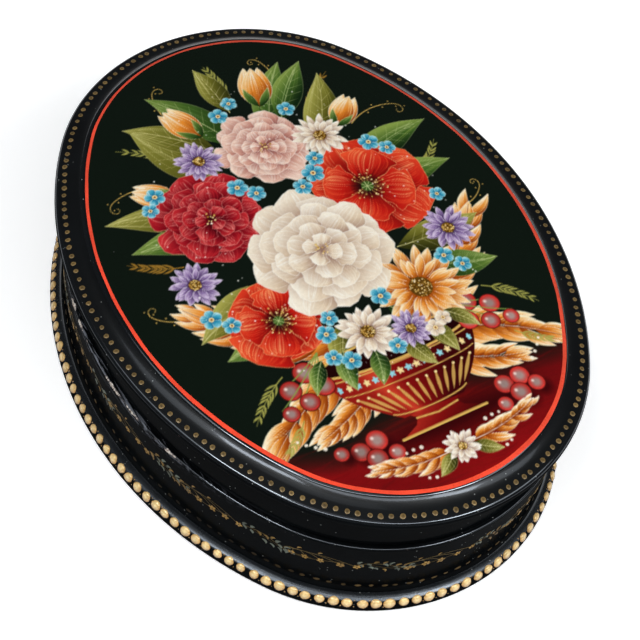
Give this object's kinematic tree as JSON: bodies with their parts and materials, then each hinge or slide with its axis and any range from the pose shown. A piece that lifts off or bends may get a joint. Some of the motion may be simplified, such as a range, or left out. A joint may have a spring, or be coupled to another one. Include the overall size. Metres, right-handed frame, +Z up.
{
  "type": "oval lacquer box",
  "caption": "Oval black lacquer box of paper board with a hinged lid, a painted raised field, gold dots and beads, and a red inside.",
  "frame": {"origin": "on the table under the middle of the base board", "axes": "+Z up, +X along the box's length, +Y towards the hinge at the back"},
  "size_m": [0.1386, 0.1066, 0.0371],
  "materials": {
    "black_lacquer": "polished",
    "red_lacquer": "gloss",
    "hinge_brass": "satin",
    "gold_paint": "satin",
    "picture_paint": "polished"
  },
  "bodies": {
    "body": {"base_board": "black_lacquer", "body_wall": "black_lacquer", "body_liner": "red_lacquer", "hinge_leaf_body": "hinge_brass", "hinge_pin": "hinge_brass", "hinge_rivets_body": "hinge_brass"},
    "lid": {"lid_wall": "black_lacquer", "lid_board": "black_lacquer", "hinge_leaf_lid": "hinge_brass", "hinge_rivets_lid": "hinge_brass"}
  },
  "joints": [
    {"name": "lid_hinge", "type": "hinge", "parent": "body", "child": "lid", "pos_m": [0, 0.04889, 0.0217], "axis": [-1, 0, 0], "range_deg": [0, 105]}
  ]
}
